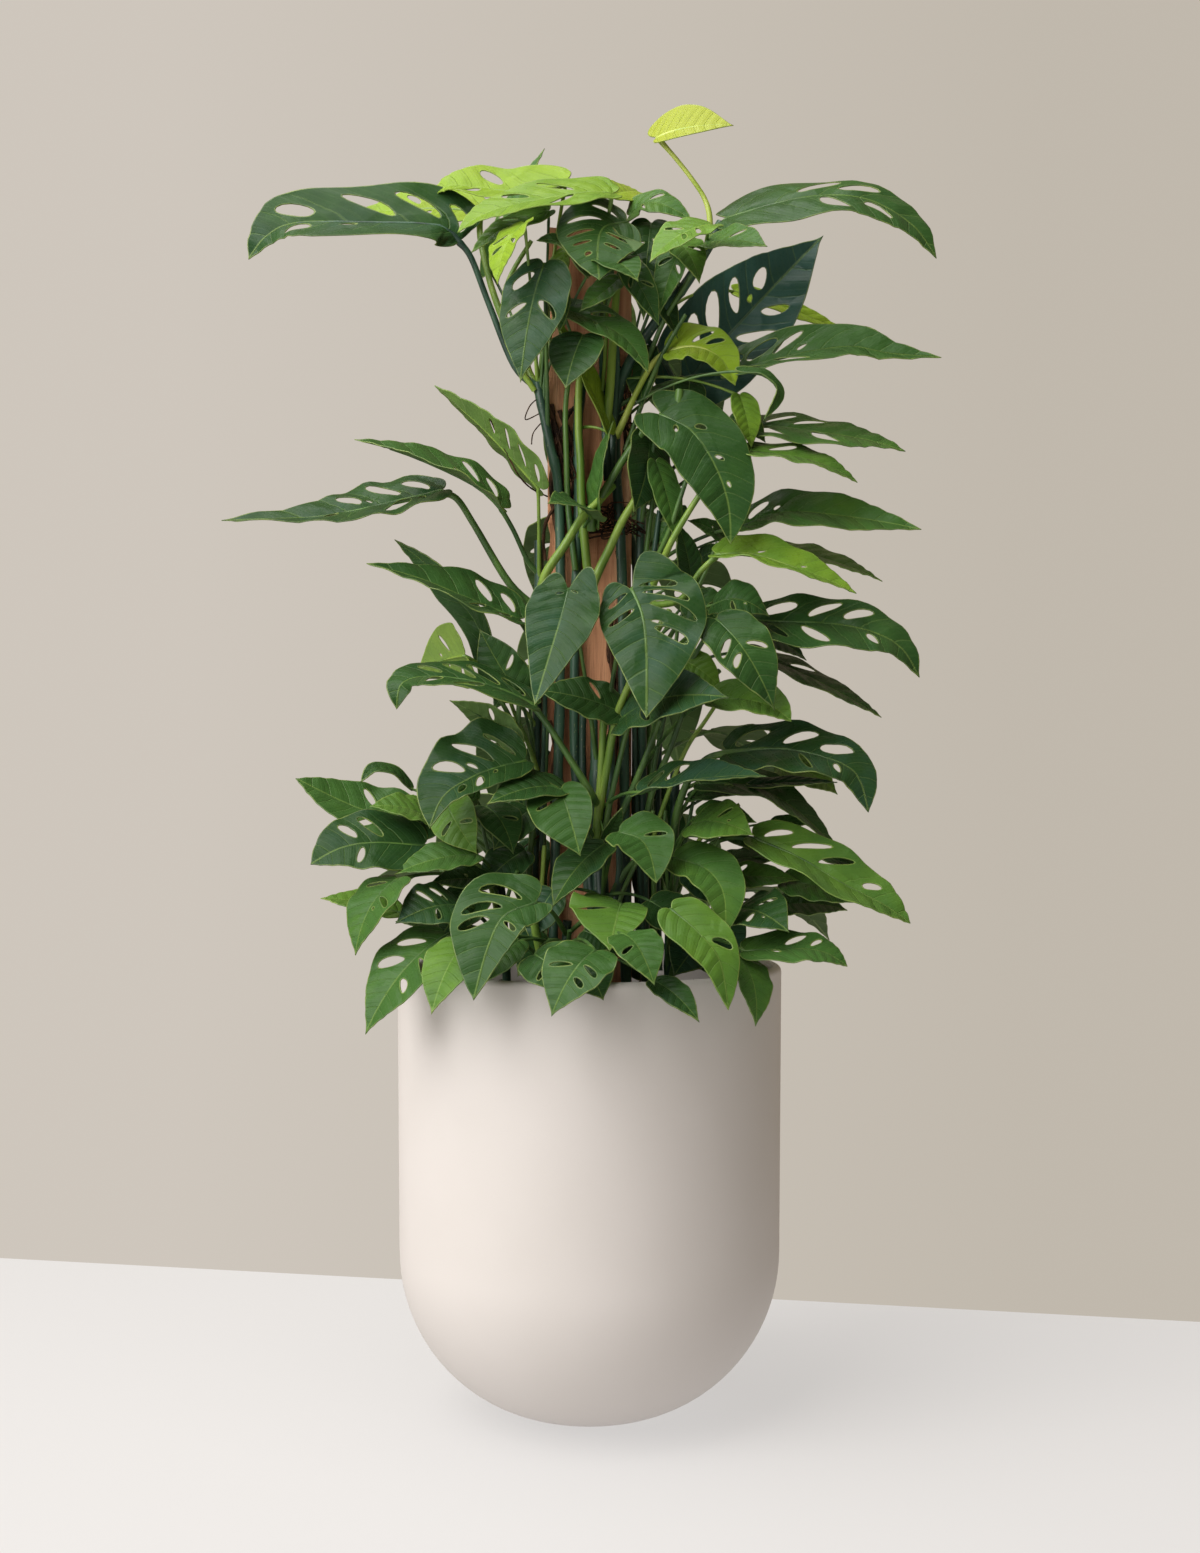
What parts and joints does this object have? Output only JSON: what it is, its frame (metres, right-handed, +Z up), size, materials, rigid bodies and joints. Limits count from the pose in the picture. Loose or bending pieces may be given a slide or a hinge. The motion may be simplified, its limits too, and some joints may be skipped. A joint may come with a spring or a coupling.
{
  "type": "monstera adansonii in a pot, climbing a wooden plank",
  "caption": "Climbing house plant with holed, pointed leaves on several stems up a rough wooden plank, in a tall round-bottomed pot of soil.",
  "frame": {"origin": "centre of the pot's flat foot, on the surface that the pot stands on, under the pot's axis", "axes": "+Z up along the pot's axis and the plank's length, -Y towards the front, +X to the right seen from the front, along the plank's width"},
  "size_m": [0.6966, 0.5183, 1.2954],
  "materials": {
    "foliage": "waxy satin leaf, lighter matt underside",
    "ceramic": "matt off-white",
    "soil": "matt, crumbly",
    "plank": "rough sawn, matt",
    "root": "dull brown bark"
  },
  "bodies": {
    "root": {"pot": "ceramic", "soil": "soil", "post": "plank", "vine_upper_left": "foliage", "vine_upper_front": "foliage", "vine_upper_right": "foliage", "vine_right": "foliage", "vine_front": "foliage", "vine_left": "foliage", "vine_lower_left": "foliage", "vine_lower_front": "foliage", "vine_lower_right": "foliage", "vine_back_left": "foliage", "vine_back_right": "foliage"}
  },
  "joints": []
}
